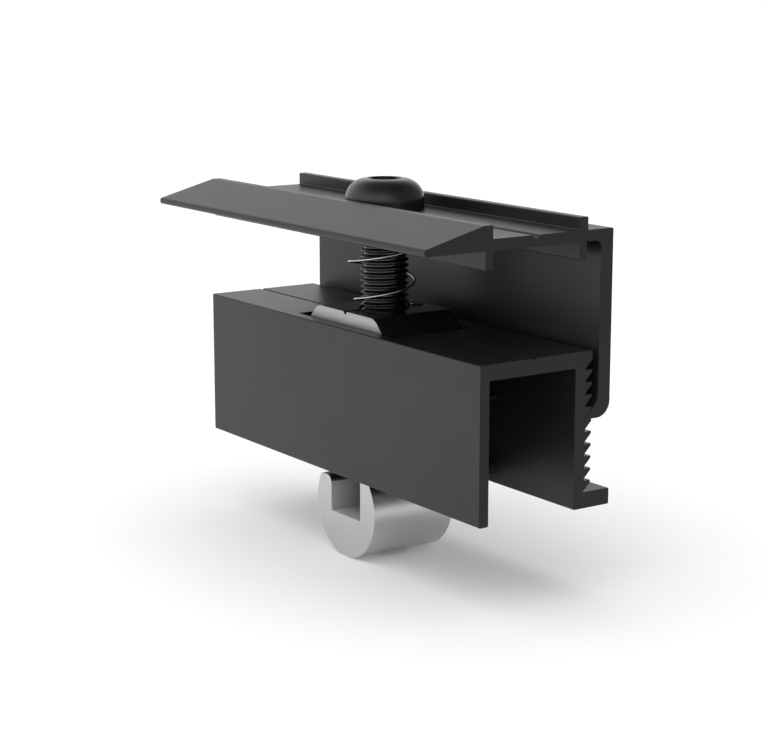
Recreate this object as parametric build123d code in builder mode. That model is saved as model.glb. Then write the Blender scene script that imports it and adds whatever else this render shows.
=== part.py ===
from build123d import *
import os
from math import cos, pi, radians, sin, sqrt, tan

# Height-adjustable solar module clamp, in millimetres.
# The Z axis is the bolt's axis, and Z = 0 is the top of the rail that the clamp stands on.
# X runs across the clamp: the wing over the module points to -X, the toothed leg is at +X.
# Y runs along the two long extrusions, the channel below and the upper clamp above.

# ---- Driving dimensions ----

clamp_length = 80.0

# Channel, the lower extrusion
channel_height = 25.0
plain_leg_wall = 1.75
deck_thickness = 2.5
toothed_leg_wall = 2.06      # behind the tooth roots
foot_width = 7.19
foot_thickness = 2.6
window_length = 28.0
drill_line_width = 0.8
drill_line_depth = 0.4
channel_edge = 0.25          # small rounding left by the die

# Sawtooth rack on the toothed leg
tooth_pitch = 1.956
tooth_depth = 1.26
tooth_flank_rise = 1.25
tooth_tip_land = 0.35
rack_start = 1.01            # deck's top to the level that the ledges count from
engaged_tooth = 5            # ledge that carries the hook, counted from the deck

# Guide block, pushed up through the window
block_length = 15.8
crown_rise = 2.2             # crown above the deck
crown_slope = 42.5           # degrees
crown_round = 3.0
crown_notch_width = 1.1
crown_notch_depth = 0.6
hub_wall = 2.7
shoulder_overlap = 1.3       # shoulder under the deck, past the window
skirt_wall = 1.6
shoulder_wall = 2.0
fin_reach = 5.1
fin_thickness = 1.0
fin_height = 14.0            # rail top to the fin's underside
toe_reach = 4.6
toe_thickness = 2.3
toe_height = 1.2             # rail top to the toe's underside

# Upper clamp
plate_thickness = 1.75
clamp_drop = 27.78           # plate's underside to the hook's flat nose
wing_reach = 20.53           # bolt axis to the wing's tip
wing_tip_thickness = 1.0
ridge_height = 2.05          # wing's crest and the rib, above the plate
crest_width = 1.66
rib_width = 1.61
recess_front = 8.15          # bolt axis to the crest
recess_rear = 8.39           # bolt axis to the rib
lip_drop = 2.8               # lips below the plate
lip_width = 1.36
marking_line_width = 1.7
marking_line_depth = 0.75
back_wall = 2.4
hook_corner = 2.5
hook_throat = 3.0            # hollow corner between the back wall and the nose
throat_round = 1.0
clamp_edge = 0.2

# Fasteners
bolt_diameter = 8.0
head_diameter = 13.15
head_height = 3.85
head_round = 3.5
socket_width = 5.0
socket_depth = 2.6
tip_chamfer = 1.0
washer_diameter = 13.2
washer_thickness = 1.2

# Barrel nut, which lies in the rail's round groove
nut_length = 15.9
nut_radius = 8.65
nut_drop = 6.1               # rail top down to the barrel's own axis
high_horn_drop = 0.6         # rail top down to the plain horn
low_horn_drop = 1.65         # rail top down to the horn that leads the rail's web in
slot_drop = 7.65             # rail top down to the slot's floor
lead_in_round = 1.3
horn_round = 0.7

# Spring
wire_diameter = 0.4
spring_turns = 2.8
spring_start = -7.0          # degrees round the bolt, where the lower end turns outwards
lower_rest = 0.42            # turns that leave the crown slowly
lower_rise = 1.1
upper_rest = 0.5             # turns that meet the plate slowly
upper_rise = 1.3
spring_grip = 0.55           # lower end, drawn in towards the thread
spring_flare = 0.95          # upper turns, wider than the waist
flare_start = 0.9            # turns
flare_turns = 0.6
leg_reach = 2.3              # straight end that lies on the crown
leg_bend = 0.35

# Named clearances
block_front_gap = 0.6        # guide block to the plain leg
block_rear_gap = 0.19        # guide block to the toothed leg
window_front_gap = 0.35
window_rear_gap = 0.15
neck_gap = 0.9               # crown's slope to the window's end, level with the shoulders
shoulder_gap = 0.2
flank_gap = 0.15             # hook's flank to the tooth above it
wall_gap = 1.24              # back wall to the tooth tips
plate_hole_gap = 0.5
washer_gap = 0.2
guide_gap = 0.2
thread_gap = 0.05
slot_gap = 0.375
spring_bolt_gap = 0.85
tip_cover = 1.6              # bolt's tip above the barrel's lowest line

# ---- Levels and faces that several pieces share ----

deck_top = channel_height
deck_under = deck_top - deck_thickness
plain_leg_inner = -(block_length / 2 + block_front_gap)
plain_leg_outer = plain_leg_inner - plain_leg_wall
toothed_leg_inner = block_length / 2 + block_rear_gap
tooth_root = toothed_leg_inner + toothed_leg_wall
tooth_tip = tooth_root + tooth_depth
foot_end = toothed_leg_inner + foot_width
tooth_count = int((channel_height - rack_start - foot_thickness) / tooth_pitch)


def ledge(number):
    """Height of a tooth's flat top, counted down from the deck."""
    return deck_top - rack_start - number * tooth_pitch


bolt_radius = bolt_diameter / 2
crown_top = deck_top + crown_rise
shoulder_top = deck_under - shoulder_gap
hub_half = bolt_radius + guide_gap + hub_wall
nose_height = ledge(engaged_tooth)
plate_under = nose_height + clamp_drop
plate_top = plate_under + plate_thickness
head_seat = plate_top + washer_thickness
nut_axis = -nut_drop
nut_bottom = nut_axis - nut_radius
bolt_tip = nut_bottom + tip_cover


def outline(corners):
    """Closed line through (across, up, radius) corners, each rounded by its own radius."""
    return FilletPolyline(
        *[(across, up) for across, up, radius in corners],
        radius=[radius for across, up, radius in corners],
        close=True,
    )


def rack_corners():
    """Tooth corners from the deck down to the foot: flank, root, then the next flat top."""
    corners = [(tooth_tip, ledge(0) - tooth_tip_land, 0)]
    for number in range(1, tooth_count + 1):
        corners += [
            (tooth_root, ledge(number - 1) - tooth_tip_land - tooth_flank_rise, 0),
            (tooth_root, ledge(number), 0),
            (tooth_tip, ledge(number), 0),
            (tooth_tip, ledge(number) - tooth_tip_land, 0),
        ]
    return corners


# ---- Channel ----

last_flank = ledge(tooth_count) - tooth_tip_land
channel_corners = [
    (plain_leg_outer, 0, channel_edge),
    (plain_leg_outer, deck_top, channel_edge),
    (-drill_line_width / 2, deck_top, 0),
    (0, deck_top - drill_line_depth, 0),
    (drill_line_width / 2, deck_top, 0),
    (tooth_tip, deck_top, channel_edge),
    *rack_corners(),
    (tooth_tip - (last_flank - foot_thickness) * tooth_depth / tooth_flank_rise, foot_thickness, 0),
    (foot_end, foot_thickness, channel_edge),
    (foot_end, 0, channel_edge),
    (toothed_leg_inner, 0, channel_edge),
    (toothed_leg_inner, deck_under, channel_edge),
    (plain_leg_inner, deck_under, channel_edge),
    (plain_leg_inner, 0, channel_edge),
]
window_front = -(block_length / 2 + window_front_gap)
window_rear = block_length / 2 + window_rear_gap

with BuildPart() as channel:
    with BuildSketch(Plane.XZ):
        with BuildLine():
            outline(channel_corners)
        make_face()
    extrude(amount=clamp_length / 2, both=True)
    with BuildSketch(Plane.XY.offset(deck_under - channel_edge)):
        with Locations(((window_front + window_rear) / 2, 0)):
            Rectangle(window_rear - window_front, window_length)
    extrude(amount=deck_thickness + channel_edge, mode=Mode.SUBTRACT)
channel.part.label = "channel"

# ---- Guide block: stands on the rail; a hub with a crown, shoulders under the deck, two skirts ----

shoulder_half = window_length / 2 + shoulder_overlap
neck_half = window_length / 2 - neck_gap
crown_half = neck_half - (crown_top - shoulder_top) / tan(radians(90 - crown_slope))
skirt_inner = shoulder_half - skirt_wall
half_block_corners = [
    (0, crown_top - crown_notch_depth, 0),
    (crown_notch_width / 2, crown_top, 0),
    (crown_half, crown_top, crown_round),
    (neck_half, shoulder_top, 0),
    (shoulder_half, shoulder_top, 0.4),
    (shoulder_half, fin_height + fin_thickness, 0.3),
    (shoulder_half + fin_reach, fin_height + fin_thickness, 0.4),
    (shoulder_half + fin_reach, fin_height, 0.4),
    (shoulder_half, fin_height, 0.3),
    (shoulder_half, toe_height + toe_thickness, 0.3),
    (shoulder_half + toe_reach, toe_height + toe_thickness, 0.9),
    (shoulder_half + toe_reach, toe_height, 0.9),
    (skirt_inner, toe_height, 0.4),
    (skirt_inner, shoulder_top - shoulder_wall, 1.0),
    (hub_half, shoulder_top - shoulder_wall, 1.0),
    (hub_half, 0, 0.3),
    (0, 0, 0),
]

with BuildPart() as guide_block:
    with BuildSketch(Plane.YZ):
        with BuildLine():
            outline(half_block_corners)
        make_face()
        mirror(about=Plane.YZ)
    extrude(amount=block_length / 2, both=True)
    with BuildSketch():
        Circle(bolt_radius + guide_gap)
    extrude(amount=crown_top, mode=Mode.SUBTRACT)
guide_block.part.label = "guide_block"

# ---- Upper clamp: wing, recessed plate, rib and the back wall with its hook ----

back_inner = tooth_tip + wall_gap
back_outer = back_inner + back_wall
nose_tip = tooth_root + flank_gap
flank_foot = ledge(engaged_tooth - 1) - tooth_tip_land - tooth_flank_rise
flank_top = flank_foot + (back_inner - nose_tip) * tooth_flank_rise / tooth_depth
clamp_corners = [
    (-wing_reach, plate_under, 0.45),
    (-wing_reach, plate_under + wing_tip_thickness, 0.45),
    (-recess_front - crest_width, plate_top + ridge_height, clamp_edge),
    (-recess_front, plate_top + ridge_height, clamp_edge),
    (-recess_front, plate_top, clamp_edge),
    (-marking_line_width / 2, plate_top, 0.3),
    (0, plate_top - marking_line_depth, 0),
    (marking_line_width / 2, plate_top, 0.3),
    (recess_rear, plate_top, clamp_edge),
    (recess_rear, plate_top + ridge_height, clamp_edge),
    (recess_rear + rib_width, plate_top + ridge_height, clamp_edge),
    (recess_rear + rib_width, plate_top, clamp_edge),
    (back_outer, plate_top, clamp_edge),
    (back_outer, nose_height, hook_corner),
    (nose_tip, nose_height, 0.12),
    (nose_tip, flank_foot, 0),
    (back_inner, flank_top, hook_throat),
    (back_inner, plate_under, throat_round),
    (recess_rear + lip_width, plate_under, clamp_edge),
    (recess_rear + lip_width, plate_under - lip_drop, clamp_edge),
    (recess_rear, plate_under - lip_drop, clamp_edge),
    (recess_rear, plate_under, clamp_edge),
    (-recess_front, plate_under, clamp_edge),
    (-recess_front, plate_under - lip_drop, clamp_edge),
    (-recess_front - lip_width, plate_under - lip_drop, clamp_edge),
    (-recess_front - lip_width, plate_under, clamp_edge),
]

with BuildPart() as upper_clamp:
    with BuildSketch(Plane.XZ):
        with BuildLine():
            outline(clamp_corners)
        make_face()
    extrude(amount=clamp_length / 2, both=True)
    with BuildSketch(Plane.XY.offset(plate_under)):
        Circle(bolt_radius + plate_hole_gap)
    extrude(amount=plate_thickness, mode=Mode.SUBTRACT)
upper_clamp.part.label = "upper_clamp"

# ---- Bolt with a domed socket head, and its washer ----

head_radius = head_diameter / 2
head_top = head_seat + head_height
dome_start = head_top - head_round

with BuildPart() as clamp_bolt:
    with BuildSketch(Plane.XZ):
        with BuildLine():
            Polyline(
                (0, head_top),
                (0, bolt_tip),
                (bolt_radius - tip_chamfer, bolt_tip),
                (bolt_radius, bolt_tip + tip_chamfer),
                (bolt_radius, head_seat),
                (head_radius, head_seat),
                (head_radius, dome_start),
            )
            RadiusArc((head_radius, dome_start), (head_radius - head_round, head_top), -head_round)
            Line((head_radius - head_round, head_top), (0, head_top))
        make_face()
    revolve(axis=Axis.Z)
    with BuildSketch(Plane.XY.offset(head_top)):
        RegularPolygon(socket_width / 2, 6, major_radius=False)
    extrude(amount=-socket_depth, mode=Mode.SUBTRACT)
clamp_bolt.part.label = "clamp_bolt"

with BuildPart() as washer:
    with BuildSketch(Plane.XY.offset(plate_top)):
        Circle(washer_diameter / 2)
        Circle(bolt_radius + washer_gap, mode=Mode.SUBTRACT)
    extrude(amount=washer_thickness)
washer.part.label = "washer"

# ---- Barrel nut: a round bar with a slot between two horns ----

slot_half = bolt_radius + slot_gap
low_horn_edge = sqrt(nut_radius**2 - (nut_drop - low_horn_drop) ** 2)
slot_corners = [
    (-nut_radius, nut_axis + nut_radius, 0),
    (-nut_radius, -high_horn_drop, 0),
    (-slot_half, -high_horn_drop, 0),
    (-slot_half, -slot_drop, 0),
    (slot_half, -slot_drop, 0),
    (slot_half, -low_horn_drop, lead_in_round),
    (nut_radius, -low_horn_drop, 0),
    (nut_radius, nut_axis + nut_radius, 0),
]

with BuildPart() as barrel_nut:
    with BuildSketch(Plane.YZ) as nut_section:
        with Locations((0, nut_axis)):
            Circle(nut_radius)
        with BuildLine():
            outline(slot_corners)
        make_face(mode=Mode.SUBTRACT)
        fillet(nut_section.vertices().sort_by_distance((low_horn_edge, -low_horn_drop))[0], horn_round)
    extrude(amount=nut_length / 2, both=True)
    with BuildSketch(Plane.XY.offset(nut_bottom)):
        Circle(bolt_radius + thread_gap)
    extrude(amount=nut_radius, mode=Mode.SUBTRACT)
barrel_nut.part.label = "barrel_nut"

# ---- Spring: a fine open coil from the crown to the plate, with a straight lower end ----

wire_radius = wire_diameter / 2
spring_waist = bolt_radius + spring_bolt_gap + wire_radius
spring_low = crown_top + wire_radius
spring_high = plate_under - wire_radius


def coil_height(turn):
    """Height of the wire's centre: it leaves the crown and meets the plate slowly."""
    if turn < lower_rest:
        return spring_low + lower_rise * (turn / lower_rest) ** 2
    if turn > spring_turns - upper_rest:
        return spring_high - upper_rise * ((spring_turns - turn) / upper_rest) ** 2
    share = (turn - lower_rest) / (spring_turns - lower_rest - upper_rest)
    return spring_low + lower_rise + share * (spring_high - spring_low - lower_rise - upper_rise)


def coil_radius(turn):
    """Coil's radius: drawn in at the lower end, and flared towards the plate."""
    grip = max(0, 1 - turn / lower_rest) ** 2
    flare = min(1, max(0, (turn - flare_start) / flare_turns))
    return spring_waist - spring_grip * grip + spring_flare * flare**2 * (3 - 2 * flare)


def round_bolt(radius, turn, height):
    """Point at a radius and a number of turns past the spring's start."""
    angle = radians(spring_start) + 2 * pi * turn
    return (radius * cos(angle), radius * sin(angle), height)


points_per_turn = 16
leg_foot = coil_radius(0) + leg_bend
leg_points = [round_bolt(leg_foot + leg_reach * part, 0, spring_low) for part in (1, 0.5, 0)]
coil_steps = range(1, round(spring_turns * points_per_turn) + 1)
coil_turns = [spring_turns * step / len(coil_steps) for step in coil_steps]
coil_points = [round_bolt(coil_radius(turn), turn, coil_height(turn)) for turn in coil_turns]
first_turn = leg_bend / coil_radius(0) / pi
bend_point = round_bolt(coil_radius(first_turn), first_turn, coil_height(first_turn))
with BuildPart() as spring:
    with BuildLine() as wire_path:
        Spline(leg_points + [bend_point] + coil_points)
    with BuildSketch(Plane(origin=wire_path.line @ 0, z_dir=wire_path.line % 0)):
        RegularPolygon(wire_radius, 8)
    sweep(path=wire_path.line, transition=Transition.RIGHT)
spring.part.label = "spring"

# ---- Output ----

os.makedirs("parts", exist_ok=True)
for piece in (channel, guide_block, upper_clamp, clamp_bolt, washer, barrel_nut, spring):
    export_step(piece.part, f"parts/{piece.part.label}.step")
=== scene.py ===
# %% [markdown]
# # Height-adjustable solar module clamp
#
# The clamp is two black extrusions held together by one bolt. The channel stands on the rail, the
# upper clamp hooks into the channel's teeth, and the bolt pulls both down on to a barrel nut in the
# rail's groove. A thin spring keeps the upper clamp open while the installer works.
#
# The extrusions, the guide block, the washer and the barrel nut come from the CAD model, because
# their shape is exact there. The bolt and the spring are modelled here: one needs a real thread and
# the other a round wire, and both are too fine for the CAD frame.

# %% Load the frame
from math import cos, pi, radians, sin

import bpy
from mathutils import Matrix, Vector


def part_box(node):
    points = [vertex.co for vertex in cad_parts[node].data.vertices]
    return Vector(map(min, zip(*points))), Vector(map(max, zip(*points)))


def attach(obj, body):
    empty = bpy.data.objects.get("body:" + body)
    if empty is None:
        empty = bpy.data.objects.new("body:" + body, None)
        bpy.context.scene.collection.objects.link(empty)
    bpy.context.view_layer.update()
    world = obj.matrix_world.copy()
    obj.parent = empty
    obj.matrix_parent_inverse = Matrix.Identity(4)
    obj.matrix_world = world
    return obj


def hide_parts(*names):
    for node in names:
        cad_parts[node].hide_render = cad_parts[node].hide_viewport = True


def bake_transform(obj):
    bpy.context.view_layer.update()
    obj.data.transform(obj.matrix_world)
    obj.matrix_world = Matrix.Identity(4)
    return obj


MM = 0.001
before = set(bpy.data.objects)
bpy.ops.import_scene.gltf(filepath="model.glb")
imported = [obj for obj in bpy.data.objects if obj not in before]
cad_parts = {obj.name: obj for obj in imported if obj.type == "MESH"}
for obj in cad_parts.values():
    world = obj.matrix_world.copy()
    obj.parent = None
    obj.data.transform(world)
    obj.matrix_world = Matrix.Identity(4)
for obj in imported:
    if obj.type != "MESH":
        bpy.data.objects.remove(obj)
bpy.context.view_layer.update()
print("CAD nodes:", sorted(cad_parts))

# %% [markdown]
# ## Helpers
#
# Blender mixes light in linear values, while colours are usually written as sRGB hex codes, so one
# function turns the second into the first. Another function adds a node with its settings and its
# links in one call, which keeps each material short enough to read from top to bottom.

# %% Colours and nodes
def hex_colour(code):
    """Linear RGBA of an sRGB hex code."""
    channels = [int(code[i:i + 2], 16) / 255 for i in (1, 3, 5)]
    return [c / 12.92 if c <= 0.04045 else ((c + 0.055) / 1.055) ** 2.4 for c in channels] + [1.0]


def add_node(tree, kind, inputs=None, **settings):
    """A new node; an input is a plain value, or a link when it is another node's output socket."""
    node = tree.nodes.new(kind)
    for name, value in settings.items():
        setattr(node, name, value)
    for name, value in (inputs or {}).items():
        if isinstance(value, bpy.types.NodeSocket):
            tree.links.new(value, node.inputs[name])
        else:
            node.inputs[name].default_value = value
    return node


def new_material(name):
    """An empty material and its node tree, with only the output node in it."""
    material = bpy.data.materials.new(name)
    material.use_nodes = True
    material.node_tree.nodes.clear()
    output = material.node_tree.nodes.new("ShaderNodeOutputMaterial")
    return material, material.node_tree, output


# %% [markdown]
# ## Levels
#
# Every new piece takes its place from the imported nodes, so it still fits if a size changes there.
# The bolt's axis is the Z axis. The head's underside is the washer's top, and the spring stands
# between the guide block's crown and the clamp's plate.

# %% Levels from the frame
bolt_low, bolt_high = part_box("clamp_bolt")
spring_low, spring_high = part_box("spring")
washer_low, washer_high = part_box("washer")
channel_low, channel_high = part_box("channel")
block_low, block_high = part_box("guide_block")
nut_low, nut_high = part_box("barrel_nut")

head_seat = washer_high[2]
head_top = bolt_high[2]
bolt_tip = bolt_low[2]
head_radius = bolt_high[0]
floor_height = nut_low[2]
print(f"head {2 * head_radius / MM:.2f} mm wide, {(head_top - head_seat) / MM:.2f} mm high")

# %% [markdown]
# ## Camera
#
# A long lens from a little above shows the clamp's end face and its wing at once. The camera looks
# along azimuth -34.4 degrees, 11.7 degrees above the horizon, from 329 mm away.

# %% Camera
target = Vector((0.385, 0.763, 15.519)) * MM
azimuth, elevation, distance = radians(-34.4), radians(11.7), 328.53 * MM
view_direction = Vector((cos(elevation) * sin(azimuth), -cos(elevation) * cos(azimuth), sin(elevation)))
camera_data = bpy.data.cameras.new("camera")
camera_data.lens = 91.3
camera = bpy.data.objects.new("camera", camera_data)
bpy.context.scene.collection.objects.link(camera)
camera.location = target + view_direction * distance
camera.rotation_euler = (-view_direction).to_track_quat("-Z", "Y").to_euler()
bpy.context.scene.camera = camera
print("camera at", [round(c / MM, 2) for c in camera.location], "mm")

# %% [markdown]
# ## Light and floor
#
# The floor and the room are white where the camera, a glossy surface or glass sees them. That is
# done with the Light Path node and not with stronger lamps, so the lamps can stay at a plain level
# and the black parts don't turn grey. The only lamp is a sun 80 degrees wide, about a quarter of
# the sky, like a big soft box overhead. It lights the floor evenly out to the horizon and leaves a broad pale shadow.
# Reflections don't see the lamp, and they see the room dimmer overhead and at the camera's right. That
# gives the round head its dark middle and bright rim, as between soft boxes in a studio.

# %% Rays that look at the room
def looking_rays(tree):
    """The Light Path node, and a socket that is 1 for camera, glossy and transmission rays."""
    path = add_node(tree, "ShaderNodeLightPath")
    direct = add_node(tree, "ShaderNodeMath", {0: path.outputs["Is Camera Ray"],
                      1: path.outputs["Is Glossy Ray"]}, operation="MAXIMUM")
    seen = add_node(tree, "ShaderNodeMath", {0: direct.outputs[0],
                    1: path.outputs["Is Transmission Ray"]}, operation="MAXIMUM")
    return path, seen.outputs[0]


# %% Room
ROOM_LIGHT = 0.55              # what the room gives as light
OVERHEAD = 0.15                # share of white that a reflection sees straight above
FLAG = 0.25                    # and towards the camera's right, where a dark flag would stand
FLAG_SIDE = (0.8, -0.6, 0.2)
bpy.context.scene.view_settings.view_transform = "Standard"
world = bpy.data.worlds.new("studio")
bpy.context.scene.world = world
world.use_nodes = True
tree = world.node_tree
tree.nodes.clear()
path, seen = looking_rays(tree)
plain = add_node(tree, "ShaderNodeBackground", {"Color": hex_colour("#ffffff"), "Strength": ROOM_LIGHT})
way = add_node(tree, "ShaderNodeTexCoord").outputs["Generated"]
height = add_node(tree, "ShaderNodeSeparateXYZ", {"Vector": way})
ceiling = add_node(tree, "ShaderNodeMapRange", {"Value": height.outputs["Z"], "From Min": 0.45,
                   "From Max": 0.9, "To Min": 1.0, "To Max": OVERHEAD})
side = add_node(tree, "ShaderNodeVectorMath", {0: way, 1: FLAG_SIDE}, operation="DOT_PRODUCT")
flag = add_node(tree, "ShaderNodeMapRange", {"Value": side.outputs["Value"], "From Min": 0.15,
                "From Max": 0.7, "To Min": 1.0, "To Max": FLAG})
dimmed = add_node(tree, "ShaderNodeMath", {0: ceiling.outputs[0], 1: flag.outputs[0]},
                  operation="MULTIPLY")
sight = add_node(tree, "ShaderNodeMath", {0: dimmed.outputs[0], 1: path.outputs["Is Camera Ray"]},
                 operation="MAXIMUM")
white = add_node(tree, "ShaderNodeBackground", {"Color": hex_colour("#ffffff"),
                 "Strength": sight.outputs[0]})
mixed = add_node(tree, "ShaderNodeMixShader", {0: seen, 1: plain.outputs[0], 2: white.outputs[0]})
add_node(tree, "ShaderNodeOutputWorld", {"Surface": mixed.outputs[0]})
print("room light", ROOM_LIGHT)


# %% Floor
floor_material, tree, output = new_material("white paper floor")
path, seen = looking_rays(tree)
paper = add_node(tree, "ShaderNodeBsdfDiffuse", {"Color": hex_colour("#f2f2f2")})
glow = add_node(tree, "ShaderNodeEmission", {"Color": hex_colour("#ffffff"), "Strength": 0.12})
both = add_node(tree, "ShaderNodeAddShader", {0: paper.outputs[0], 1: glow.outputs[0]})
mixed = add_node(tree, "ShaderNodeMixShader", {0: seen, 1: paper.outputs[0], 2: both.outputs[0]})
tree.links.new(mixed.outputs[0], output.inputs["Surface"])

bpy.ops.object.select_all(action="DESELECT")
bpy.ops.mesh.primitive_plane_add(size=20, location=(0, 0, floor_height))
floor = bpy.context.object
floor.name = "floor"
floor.data.materials.append(floor_material)


# %% Lamp
sun_data = bpy.data.lights.new("soft sky", "SUN")
sun_data.energy = 1.8
sun_data.angle = radians(80)
sun = bpy.data.objects.new("soft sky", sun_data)
bpy.context.scene.collection.objects.link(sun)
sun_place = Vector((-0.3, -0.05, 1.0))
sun.rotation_euler = (-sun_place).to_track_quat("-Z", "Y").to_euler()
sun.visible_glossy = False
print("lamp and floor are in place")

# %% [markdown]
# ## Black anodised aluminium
#
# The extrusions are 6063 aluminium, etched matt, dyed black and sealed. The metal behind the glassy
# oxide gives a dark grey satin sheen, and the dye scatters a little light, which keeps the hollows from
# going quite black. So the shader is mostly metal with a part that scatters. The die leaves very fine
# lines along the length. The etch leaves a fine grain all over. Sawn ends have no die lines and are
# rougher, and their darker colour is painted shade, for the dark surroundings that they reflect.

# %% Black anodised aluminium
GRAIN = 0.12 * MM      # etched grain; the real one is near 0.02 mm, drawn coarser so that it shows
DIE_LINE = 0.22 * MM   # spacing of the die lines, about as fine as the render can show


def black_anodised(name, length):
    """Satin black oxide over extruded aluminium; its cut ends at plus and minus length / 2 are rougher and painted
    darker as shade.
    """
    material, tree, output = new_material(name)
    place = add_node(tree, "ShaderNodeTexCoord").outputs["Object"]
    drawn = add_node(tree, "ShaderNodeMapping", {"Vector": place, "Scale": (1, 0.012, 1)})
    lines = add_node(tree, "ShaderNodeTexNoise",
                     {"Vector": drawn.outputs[0], "Scale": 1 / DIE_LINE, "Detail": 2.0})
    grain = add_node(tree, "ShaderNodeTexNoise", {"Vector": place, "Scale": 1 / GRAIN, "Detail": 3.0})
    cloud = add_node(tree, "ShaderNodeTexNoise", {"Vector": place, "Scale": 1 / (18 * MM), "Detail": 3.0})
    along = add_node(tree, "ShaderNodeSeparateXYZ", {"Vector": place})
    reach = add_node(tree, "ShaderNodeMath", {0: along.outputs["Y"]}, operation="ABSOLUTE")
    sawn_ends_and_painted_shade = add_node(tree, "ShaderNodeMapRange", {"Value": reach.outputs[0],
                    "From Min": length / 2 - 0.06 * MM, "From Max": length / 2 - 0.02 * MM})
    tone = add_node(tree, "ShaderNodeMapRange", {"Value": cloud.outputs["Fac"],
                    "From Min": 0.3, "From Max": 0.7, "To Min": 0.0, "To Max": 1.0})
    faces = add_node(tree, "ShaderNodeMix", {"Factor": tone.outputs[0], "A": hex_colour("#383838"),
                     "B": hex_colour("#3c3c3c")}, data_type="RGBA")
    # Painted shade: the ends at plus and minus length / 2 get the darker #2a2a2a, for the dark surroundings that they
    # reflect.
    colour = add_node(tree, "ShaderNodeMix", {"Factor": sawn_ends_and_painted_shade.outputs[0],
                      "B": hex_colour("#2a2a2a")}, data_type="RGBA")
    tree.links.new(faces.outputs["Result"], colour.inputs["A"])
    gloss = add_node(tree, "ShaderNodeMapRange", {"Value": lines.outputs["Fac"],
                     "From Min": 0.3, "From Max": 0.7, "To Min": 0.37, "To Max": 0.4})
    dull = add_node(tree, "ShaderNodeMapRange", {"Value": sawn_ends_and_painted_shade.outputs[0], "To Min": 0.0, "To Max": 0.15})
    rough = add_node(tree, "ShaderNodeMath", {0: gloss.outputs[0], 1: dull.outputs[0]}, operation="ADD")
    etched = add_node(tree, "ShaderNodeBump", {"Height": grain.outputs["Fac"], "Strength": 0.12,
                      "Distance": 0.01 * MM})
    rolled = add_node(tree, "ShaderNodeBump", {"Height": lines.outputs["Fac"], "Strength": 0.05,
                      "Distance": 0.01 * MM, "Normal": etched.outputs[0]})
    skin = add_node(tree, "ShaderNodeBsdfPrincipled", {"Base Color": colour.outputs["Result"],
                    "Metallic": 0.7, "Roughness": rough.outputs[0], "Normal": rolled.outputs[0]})
    tree.links.new(skin.outputs[0], output.inputs["Surface"])
    return material


extrusion_skin = black_anodised("black anodised aluminium", channel_high[1] - channel_low[1])

# %% [markdown]
# ## Guide block: bare aluminium, with painted shade on all but its cut faces
#
# The guide block is bare aluminium all over. Its two cut faces, at the block's ends in X, show the metal's light
# grey, and every other face is painted near black as shade, for the dark surroundings that it reflects. The material
# tells the cut faces apart by their place. The saw leaves fine straight marks across them. The painted faces are
# smoother than the extrusions, so the flat crown mirrors the back wall at a low angle while its slopes stay dark.

# %% Bare cut faces, and painted shade on the rest of the block
SAW_MARK = 0.3 * MM    # spacing of the saw's marks


def bare_block_with_painted_shade(name, half_width):
    """Bare aluminium: saw-cut faces at plus and minus half_width in X, painted near-black shade on every other face.
    """
    material, tree, output = new_material(name)
    place = add_node(tree, "ShaderNodeTexCoord").outputs["Object"]
    grain = add_node(tree, "ShaderNodeTexNoise", {"Vector": place, "Scale": 1 / GRAIN, "Detail": 3.0})
    marks = add_node(tree, "ShaderNodeMapping", {"Vector": place, "Scale": (1, 0.02, 1)})
    marks = add_node(tree, "ShaderNodeTexNoise",
                     {"Vector": marks.outputs[0], "Scale": 1 / SAW_MARK, "Detail": 2.0})
    across = add_node(tree, "ShaderNodeSeparateXYZ", {"Vector": place})
    reach = add_node(tree, "ShaderNodeMath", {0: across.outputs["X"]}, operation="ABSOLUTE")
    bare = add_node(tree, "ShaderNodeMapRange", {"Value": reach.outputs[0],
                    "From Min": half_width - 0.06 * MM, "From Max": half_width - 0.02 * MM})
    tone = add_node(tree, "ShaderNodeMapRange", {"Value": marks.outputs["Fac"],
                    "From Min": 0.3, "From Max": 0.7})
    metal = add_node(tree, "ShaderNodeMix", {"Factor": tone.outputs[0], "A": hex_colour("#acacac"),
                     "B": hex_colour("#bababa")}, data_type="RGBA")
    # Painted shade: every face but the two cut faces gets #242525, a near-black copy of the bare metal's grey.
    colour = add_node(tree, "ShaderNodeMix", {"Factor": bare.outputs[0], "A": hex_colour("#242525")},
                      data_type="RGBA")
    tree.links.new(metal.outputs["Result"], colour.inputs["B"])
    bump = add_node(tree, "ShaderNodeBump", {"Height": grain.outputs["Fac"], "Strength": 0.12,
                    "Distance": 0.01 * MM})
    metallic = add_node(tree, "ShaderNodeMapRange", {"Value": bare.outputs[0], "To Min": 0.2, "To Max": 1.0})
    rough = add_node(tree, "ShaderNodeMapRange", {"Value": bare.outputs[0], "To Min": 0.18, "To Max": 0.42})
    skin = add_node(tree, "ShaderNodeBsdfPrincipled", {"Base Color": colour.outputs["Result"],
                    "Metallic": metallic.outputs[0], "Roughness": rough.outputs[0],
                    "Normal": bump.outputs[0]})
    tree.links.new(skin.outputs[0], output.inputs["Surface"])
    return material


block_skin = bare_block_with_painted_shade("bare aluminium block with painted shade", block_high[0])

# %% [markdown]
# ## Barrel nut: turned and blasted aluminium
#
# The nut is a short round bar, turned on a lathe and left bare. Its colour is a light grey, and a
# light blast with glass beads leaves it satin, so it has soft highlights and no mirror image. The slot
# is milled, and its rougher walls scatter light, so it is nowhere as dark as a mirror would be inside.

# %% Bare satin aluminium
TURNING = 0.25 * MM    # feed of the lathe tool


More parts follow.
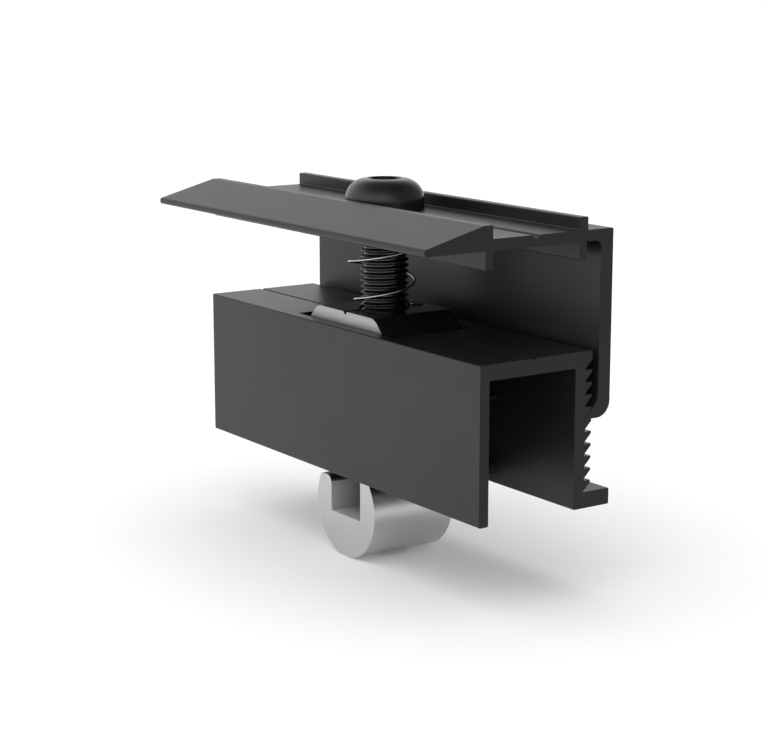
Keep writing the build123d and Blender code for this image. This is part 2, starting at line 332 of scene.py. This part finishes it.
def satin_aluminium(name, slot_floor, slot_half):
    """Bare light-grey aluminium, turned round its X axis, with a milled slot that scatters light."""
    material, tree, output = new_material(name)
    place = add_node(tree, "ShaderNodeTexCoord").outputs["Object"]
    turned = add_node(tree, "ShaderNodeMapping", {"Vector": place, "Scale": (1, 0.03, 0.03)})
    rings = add_node(tree, "ShaderNodeTexNoise",
                     {"Vector": turned.outputs[0], "Scale": 1 / TURNING, "Detail": 2.0})
    grain = add_node(tree, "ShaderNodeTexNoise", {"Vector": place, "Scale": 1 / GRAIN, "Detail": 3.0})
    tone = add_node(tree, "ShaderNodeMapRange", {"Value": rings.outputs["Fac"],
                    "From Min": 0.3, "From Max": 0.7})
    colour = add_node(tree, "ShaderNodeMix", {"Factor": tone.outputs[0], "A": hex_colour("#c2c3c3"),
                      "B": hex_colour("#c6c7c7")}, data_type="RGBA")
    bump = add_node(tree, "ShaderNodeBump", {"Height": grain.outputs["Fac"], "Strength": 0.1,
                    "Distance": 0.01 * MM})
    spot = add_node(tree, "ShaderNodeSeparateXYZ", {"Vector": place})
    aside = add_node(tree, "ShaderNodeMath", {0: spot.outputs["Y"]}, operation="ABSOLUTE")
    within = add_node(tree, "ShaderNodeMath", {0: aside.outputs[0], 1: slot_half + 0.03 * MM},
                      operation="LESS_THAN")
    above = add_node(tree, "ShaderNodeMath", {0: spot.outputs["Z"], 1: slot_floor - 0.03 * MM},
                     operation="GREATER_THAN")
    inset = add_node(tree, "ShaderNodeMath", {0: within.outputs[0], 1: above.outputs[0]},
                     operation="MULTIPLY")
    metallic = add_node(tree, "ShaderNodeMapRange", {"Value": inset.outputs[0], "To Min": 1.0, "To Max": 0.1})
    rough = add_node(tree, "ShaderNodeMapRange", {"Value": inset.outputs[0], "To Min": 0.3, "To Max": 0.5})
    skin = add_node(tree, "ShaderNodeBsdfPrincipled", {"Base Color": colour.outputs["Result"],
                    "Metallic": metallic.outputs[0], "Roughness": rough.outputs[0],
                    "Normal": bump.outputs[0]})
    tree.links.new(skin.outputs[0], output.inputs["Surface"])
    return material


SLOT_FLOOR = -7.65 * MM    # the slot is milled down to here
SLOT_HALF = 4.375 * MM
nut_skin = satin_aluminium("bare satin aluminium", SLOT_FLOOR, SLOT_HALF)

# %% [markdown]
# ## Bolt and washer: black coated steel
#
# A black zinc-flake coat is smoother than the oxide on the extrusions, so the head shows a clear dark
# middle and a bright rim. The coat is a thin dark paint-like film over steel.

# %% Black coated steel
def black_coated_steel(name):
    """Satin black film over steel, a little uneven where the coat ran."""
    material, tree, output = new_material(name)
    place = add_node(tree, "ShaderNodeTexCoord").outputs["Object"]
    runs = add_node(tree, "ShaderNodeTexNoise", {"Vector": place, "Scale": 1 / (2.5 * MM), "Detail": 3.0})
    gloss = add_node(tree, "ShaderNodeMapRange", {"Value": runs.outputs["Fac"],
                     "From Min": 0.3, "From Max": 0.7, "To Min": 0.24, "To Max": 0.3})
    colour = add_node(tree, "ShaderNodeMix", {"Factor": runs.outputs["Fac"], "A": hex_colour("#111111"),
                      "B": hex_colour("#171717")}, data_type="RGBA")
    skin = add_node(tree, "ShaderNodeBsdfPrincipled", {"Base Color": colour.outputs["Result"],
                    "Metallic": 0.0, "Roughness": gloss.outputs[0], "IOR": 1.6})
    tree.links.new(skin.outputs[0], output.inputs["Surface"])
    return material


bolt_skin = black_coated_steel("black coated steel")


# %% [markdown]
# ## Spring wire
#
# The spring is drawn stainless wire, 0.4 mm thick. Drawing leaves it bright, so it shows as a thin
# white line where it faces the light.

# %% Drawn spring wire
def drawn_wire(name):
    """Bright drawn stainless steel."""
    material, tree, output = new_material(name)
    place = add_node(tree, "ShaderNodeTexCoord").outputs["Object"]
    marks = add_node(tree, "ShaderNodeTexNoise", {"Vector": place, "Scale": 1 / (0.3 * MM), "Detail": 2.0})
    gloss = add_node(tree, "ShaderNodeMapRange", {"Value": marks.outputs["Fac"],
                     "From Min": 0.3, "From Max": 0.7, "To Min": 0.2, "To Max": 0.32})
    skin = add_node(tree, "ShaderNodeBsdfPrincipled", {"Base Color": hex_colour("#c9c7c4"),
                    "Metallic": 1.0, "Roughness": gloss.outputs[0]})
    tree.links.new(skin.outputs[0], output.inputs["Surface"])
    return material


wire_skin = drawn_wire("drawn stainless wire")

# %% Finish the CAD nodes
for node, material in (("channel", extrusion_skin), ("upper_clamp", extrusion_skin),
                       ("guide_block", block_skin), ("barrel_nut", nut_skin), ("washer", bolt_skin)):
    for place_in_list in range(len(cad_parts[node].material_slots)):
        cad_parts[node].material_slots[place_in_list].material = material
print("CAD nodes have their finishes")

# %% [markdown]
# ## Bolt shank with a real thread
#
# The thread is M8 with a 1 mm pitch. Its outline, two flanks and two narrow flats, starts as a single
# point that is extruded four times. A Screw modifier winds it round the axis with a rise per turn equal
# to the pitch, so every turn meets the next one. Two flat cuts then give it clean ends, and its tip
# gets a cone. The cuts need a small threshold: the usual 0.1 mm would leave the ends open.

# %% Wind the thread
PITCH = 1.0 * MM
THREAD_RADIUS = 4.0 * MM
THREAD_DEPTH = 0.61 * PITCH     # depth of a standard 60-degree thread
CREST = PITCH / 8               # flat on the crest
ROOT = PITCH / 5                # flat at the root
TIP_CHAMFER = 1.0 * MM
CUT_THRESHOLD = 0.0001 * MM


def select_none():
    """Leaves edit mode with nothing selected, so that the next operator acts on one piece only."""
    if bpy.context.object and bpy.context.object.mode != "OBJECT":
        bpy.ops.object.mode_set(mode="OBJECT")
    bpy.ops.object.select_all(action="DESELECT")


def start_edit(piece):
    """Makes the piece the only one that operators act on, and opens it in edit mode."""
    select_none()
    piece.select_set(True)
    bpy.context.view_layer.objects.active = piece
    bpy.ops.object.mode_set(mode="EDIT")


def apply_modifier(piece, kind, **settings):
    """Adds a modifier with its settings and applies it at once."""
    select_none()
    bpy.context.view_layer.objects.active = piece
    piece.select_set(True)
    modifier = piece.modifiers.new(kind.title(), kind)
    for name, value in settings.items():
        setattr(modifier, name, value)
    bpy.ops.object.modifier_apply(modifier=modifier.name)


select_none()
turns = int((head_seat - bolt_tip) / PITCH) + 4
bpy.ops.mesh.primitive_plane_add(size=1)
thread = bpy.context.object
thread.name = "bolt"
start_edit(thread)
bpy.ops.mesh.merge(type="CENTER")
bpy.ops.transform.translate(value=(THREAD_RADIUS - THREAD_DEPTH, 0, bolt_tip - 2 * PITCH))
flank = (PITCH - CREST - ROOT) / 2
for outwards, upwards in ((0, ROOT), (THREAD_DEPTH, flank), (0, CREST), (-THREAD_DEPTH, flank)):
    bpy.ops.mesh.extrude_vertices_move(TRANSFORM_OT_translate={"value": (outwards, 0, upwards)})
bpy.ops.object.mode_set(mode="OBJECT")
print("outline:", len(thread.data.vertices), "points")
apply_modifier(thread, "SCREW", screw_offset=PITCH, iterations=turns, steps=48, render_steps=48,
               use_merge_vertices=True, merge_threshold=0.001 * MM, use_normal_calculate=True)
print("thread:", len(thread.data.polygons), "faces after winding")

# %% Trim the thread and cut its tip to a cone
start_edit(thread)
bpy.ops.mesh.select_all(action="SELECT")
bpy.ops.mesh.remove_doubles(threshold=0.001 * MM)
for height, clear_outer in ((bolt_tip, False), (head_seat + 0.3 * MM, True)):
    bpy.ops.mesh.select_all(action="SELECT")
    bpy.ops.mesh.bisect(plane_co=(0, 0, height), plane_no=(0, 0, 1), use_fill=True,
                        threshold=CUT_THRESHOLD, clear_inner=not clear_outer, clear_outer=clear_outer)
bpy.ops.mesh.select_all(action="SELECT")
bpy.ops.mesh.normals_make_consistent(inside=False)
bpy.ops.object.mode_set(mode="OBJECT")
# A Boolean with a cone leaves open slivers on a helix, so each vertex is drawn in to the cone instead.
for vertex in thread.data.vertices:
    allowed = THREAD_RADIUS - max(0, TIP_CHAMFER - (vertex.co.z - bolt_tip))
    radius = vertex.co.xy.length
    if radius > allowed:
        vertex.co.x *= allowed / radius
        vertex.co.y *= allowed / radius
print("thread:", len(thread.data.polygons), "faces after trimming")

# %% [markdown]
# ## Bolt head
#
# The head is a low dome with a hexagonal socket. A short cylinder gives its foot, a wide bevel on
# the top edge gives the dome, and the socket is cut by a six-sided prism. A shallow cone at the
# socket's mouth takes off the sharp edge, as on a pressed head.

# %% Head and socket
SOCKET_WIDTH = 5.0 * MM
SOCKET_DEPTH = 2.6 * MM
HEAD_ROUND = 3.5 * MM

select_none()
bpy.ops.mesh.primitive_cylinder_add(vertices=96, radius=head_radius, depth=head_top - head_seat,
                                    location=(0, 0, (head_top + head_seat) / 2))
head = bpy.context.object
head.name = "head"
start_edit(head)
bpy.ops.mesh.select_all(action="DESELECT")
bpy.ops.object.mode_set(mode="OBJECT")
half = (head_top - head_seat) / 2
for edge in head.data.edges:
    edge.select = all(abs(head.data.vertices[v].co.z - half) < 0.01 * MM for v in edge.vertices)
start_edit(head)
bpy.ops.mesh.select_mode(type="EDGE")
bpy.ops.mesh.bevel(offset=HEAD_ROUND, segments=12, affect="EDGES")
bpy.ops.object.mode_set(mode="OBJECT")
bpy.ops.object.transform_apply(location=True, rotation=True, scale=True)


def cut_away(piece, cutter):
    """Takes the cutter's shape out of the piece and removes the cutter."""
    apply_modifier(piece, "BOOLEAN", object=cutter, operation="DIFFERENCE", solver="EXACT")
    bpy.data.objects.remove(cutter)


select_none()
bpy.ops.mesh.primitive_cylinder_add(vertices=6, radius=SOCKET_WIDTH / 2 / cos(pi / 6),
                                    depth=2 * SOCKET_DEPTH,
                                    location=(0, 0, head_top))
cut_away(head, bpy.context.object)
select_none()
mouth = SOCKET_WIDTH / 2 / cos(pi / 6) - 0.1 * MM
bpy.ops.mesh.primitive_cone_add(vertices=48, radius1=mouth - 0.8 * MM, radius2=mouth + 0.4 * MM,
                                depth=1.2 * MM, location=(0, 0, head_top - 0.2 * MM))
cut_away(head, bpy.context.object)

# %% Join head and shank
select_none()
head.select_set(True)
thread.select_set(True)
bpy.context.view_layer.objects.active = thread
bpy.ops.object.join()
bpy.ops.object.shade_smooth_by_angle(angle=radians(35))
bolt = bpy.context.object
bolt.name = "bolt"
bolt.data.materials.clear()
bolt.data.materials.append(bolt_skin)
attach(bolt, "bolt")
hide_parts("clamp_bolt")
print("bolt:", len(bolt.data.polygons), "faces")

# %% [markdown]
# ## Spring
#
# The spring is a fine open coil of drawn wire. Its lower end grips close to the thread and then
# turns outwards into a short straight leg on the guide block's crown. A wire is easiest to make as
# a curve with a round bevel: the curve's points follow the coil's formula, so the turns are smooth
# without a mesh to push about, and the curve is made a mesh at the end.

# %% The coil's shape
WIRE_RADIUS = 0.2 * MM
TURNS = 2.8
START_ANGLE = radians(-7.0)
LOWER_REST, LOWER_RISE = 0.42, 1.1 * MM     # turns that leave the crown slowly, and their rise
UPPER_REST, UPPER_RISE = 0.5, 1.3 * MM      # turns that meet the plate slowly, and their rise
WAIST = 5.05 * MM
GRIP = 0.55 * MM                            # the lower end is drawn in by this much
FLARE, FLARE_START, FLARE_TURNS = 0.95 * MM, 0.9, 0.6
LEG, LEG_BEND = 2.3 * MM, 0.35 * MM
foot = spring_low[2] + WIRE_RADIUS
top = spring_high[2] - WIRE_RADIUS


def coil_height(turn):
    """Height of the wire's centre at a number of turns from the lower end."""
    if turn < LOWER_REST:
        return foot + LOWER_RISE * (turn / LOWER_REST) ** 2
    if turn > TURNS - UPPER_REST:
        return top - UPPER_RISE * ((TURNS - turn) / UPPER_REST) ** 2
    share = (turn - LOWER_REST) / (TURNS - LOWER_REST - UPPER_REST)
    return foot + LOWER_RISE + share * (top - foot - LOWER_RISE - UPPER_RISE)


def coil_radius(turn):
    """Radius of the wire's centre line: drawn in below, flared towards the plate."""
    grip = max(0, 1 - turn / LOWER_REST) ** 2
    flare = min(1, max(0, (turn - FLARE_START) / FLARE_TURNS))
    return WAIST - GRIP * grip + FLARE * flare**2 * (3 - 2 * flare)


def round_bolt(radius, turn, height):
    """Point at a radius and a number of turns past the spring's start."""
    angle = START_ANGLE + 2 * pi * turn
    return (radius * cos(angle), radius * sin(angle), height)


# %% Lay the wire along the coil
leg_foot = coil_radius(0) + LEG_BEND
points = [round_bolt(leg_foot + LEG * part, 0, foot) for part in (1, 0.75, 0.5, 0.25, 0)]
first_turn = LEG_BEND / coil_radius(0) / pi
steps = round(TURNS * 32)
for step in range(steps + 1):
    turn = first_turn + (TURNS - first_turn) * step / steps
    points.append(round_bolt(coil_radius(turn), turn, coil_height(turn)))

select_none()
bpy.ops.curve.primitive_nurbs_path_add()
spring = bpy.context.object
spring.name = "spring_wire"
spring.data.splines.clear()
wire = spring.data.splines.new("NURBS")
wire.points.add(len(points) - 1)
for point, place in zip(wire.points, points):
    point.co = (*place, 1)
wire.order_u = 3
wire.use_endpoint_u = True
wire.resolution_u = 4
spring.data.dimensions = "3D"
spring.data.bevel_depth = WIRE_RADIUS
spring.data.bevel_resolution = 3
spring.data.use_fill_caps = True
bpy.ops.object.convert(target="MESH")
spring = bpy.context.object
bpy.ops.object.shade_smooth_by_angle(angle=radians(50))
spring.data.materials.clear()
spring.data.materials.append(wire_skin)
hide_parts("spring")
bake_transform(spring)
print("spring:", len(spring.data.polygons), "faces")
